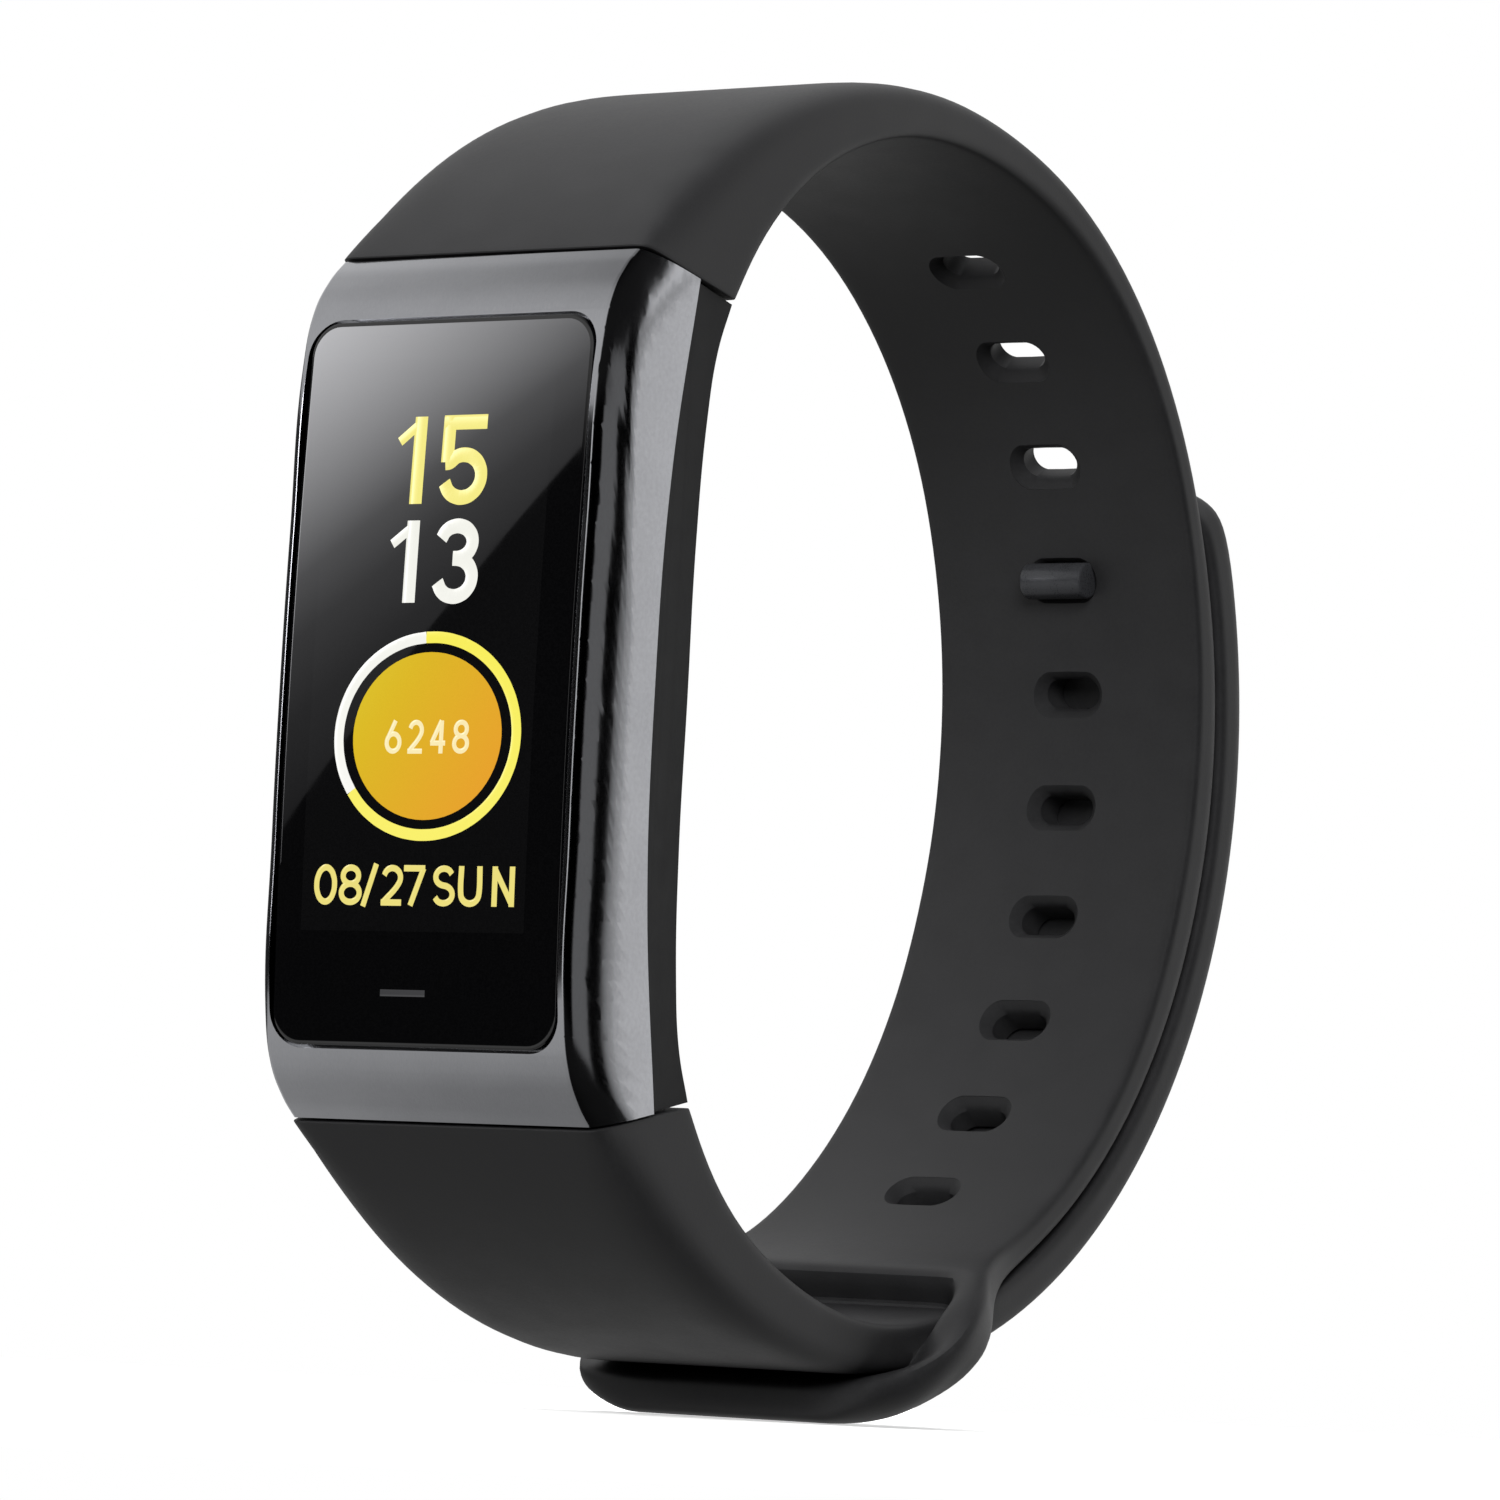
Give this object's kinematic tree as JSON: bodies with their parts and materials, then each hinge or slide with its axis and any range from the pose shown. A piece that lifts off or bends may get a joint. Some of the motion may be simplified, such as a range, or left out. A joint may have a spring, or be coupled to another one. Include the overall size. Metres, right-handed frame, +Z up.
{
  "type": "fitness tracker band",
  "caption": "Fitness tracker band: a slim curved display module on a black silicone wristband closed by a stud and a loop.",
  "frame": {"origin": "middle of the flat skin side of the sensor window, on the back of the display module", "axes": "+X across the wrist, towards the side at the right of the screen; +Y from the screen through the module towards the wrist; +Z up along the module, from the loop end of the closed band to the end with the first strap hole"},
  "size_m": [0.0244, 0.0656, 0.0719],
  "materials": {
    "strap_silicone": "soft matte silicone",
    "frame_metal": "polished dark grey, near mirror",
    "screen_glass": "polished dark cover glass, shown opaque with the picture behind it",
    "sensor_glass": "polished dark lens",
    "case_plastic": "fine matte",
    "seal_rubber": "soft foam",
    "screen_module": "smooth",
    "steel": "satin",
    "stud_metal": "satin dark coating",
    "contact_gold": "bright plated",
    "board": "solder mask",
    "ribbon_film": "amber film",
    "cell_foil": "crinkled foil pouch",
    "chip_black": "moulded package",
    "led_lens": "clear green lens",
    "rotor_weight": "sintered tungsten alloy"
  },
  "bodies": {
    "band": {"accelerometer_chip": "chip_black", "antenna_strip": "contact_gold", "back_cover": "case_plastic", "back_seal": "seal_rubber", "battery_cell": "cell_foil", "battery_foam": "seal_rubber", "bezel_frame": "frame_metal", "case_screw_1": "steel", "case_screw_2": "steel", "case_screw_3": "steel", "case_screw_4": "steel", "charge_contact_left": "contact_gold", "charge_contact_right": "contact_gold", "cover_glass": "screen_glass", "display_flex": "ribbon_film", "display_panel": "screen_module", "display_shield": "steel", "glass_gasket": "seal_rubber", "light_barrier": "case_plastic", "lower_anchor_plate": "steel", "lower_anchor_screw_left": "steel", "lower_anchor_screw_right": "steel", "lower_strap": "strap_silicone", "main_board": "board", "mid_chassis": "case_plastic", "motor_base": "board", "motor_can": "steel", "motor_shaft": "steel", "photodiode": "chip_black", "sensor_board": "board", "sensor_led_left": "led_lens", "sensor_led_right": "led_lens", "sensor_window": "sensor_glass", "shield_can": "steel", "upper_anchor_plate": "steel", "upper_anchor_screw_left": "steel", "upper_anchor_screw_right": "steel", "upper_strap": "strap_silicone"},
    "tip": {"strap_tip": "strap_silicone", "clasp_stud": "stud_metal", "stud_cap": "stud_metal"},
    "rotor": {"motor_rotor": "rotor_weight"}
  },
  "joints": [
    {"name": "tip_peel", "type": "hinge", "parent": "band", "child": "tip", "pos_m": [0, 0.05525, -0.00317], "axis": [-1, 0, 0], "range_deg": [0, 75], "stiffness_Nm_per_rad": 0.01},
    {"name": "rotor_spin", "type": "hinge", "parent": "band", "child": "rotor", "pos_m": [0, -0.0046, -0.013], "axis": [0, 1, 0], "continuous": true}
  ]
}
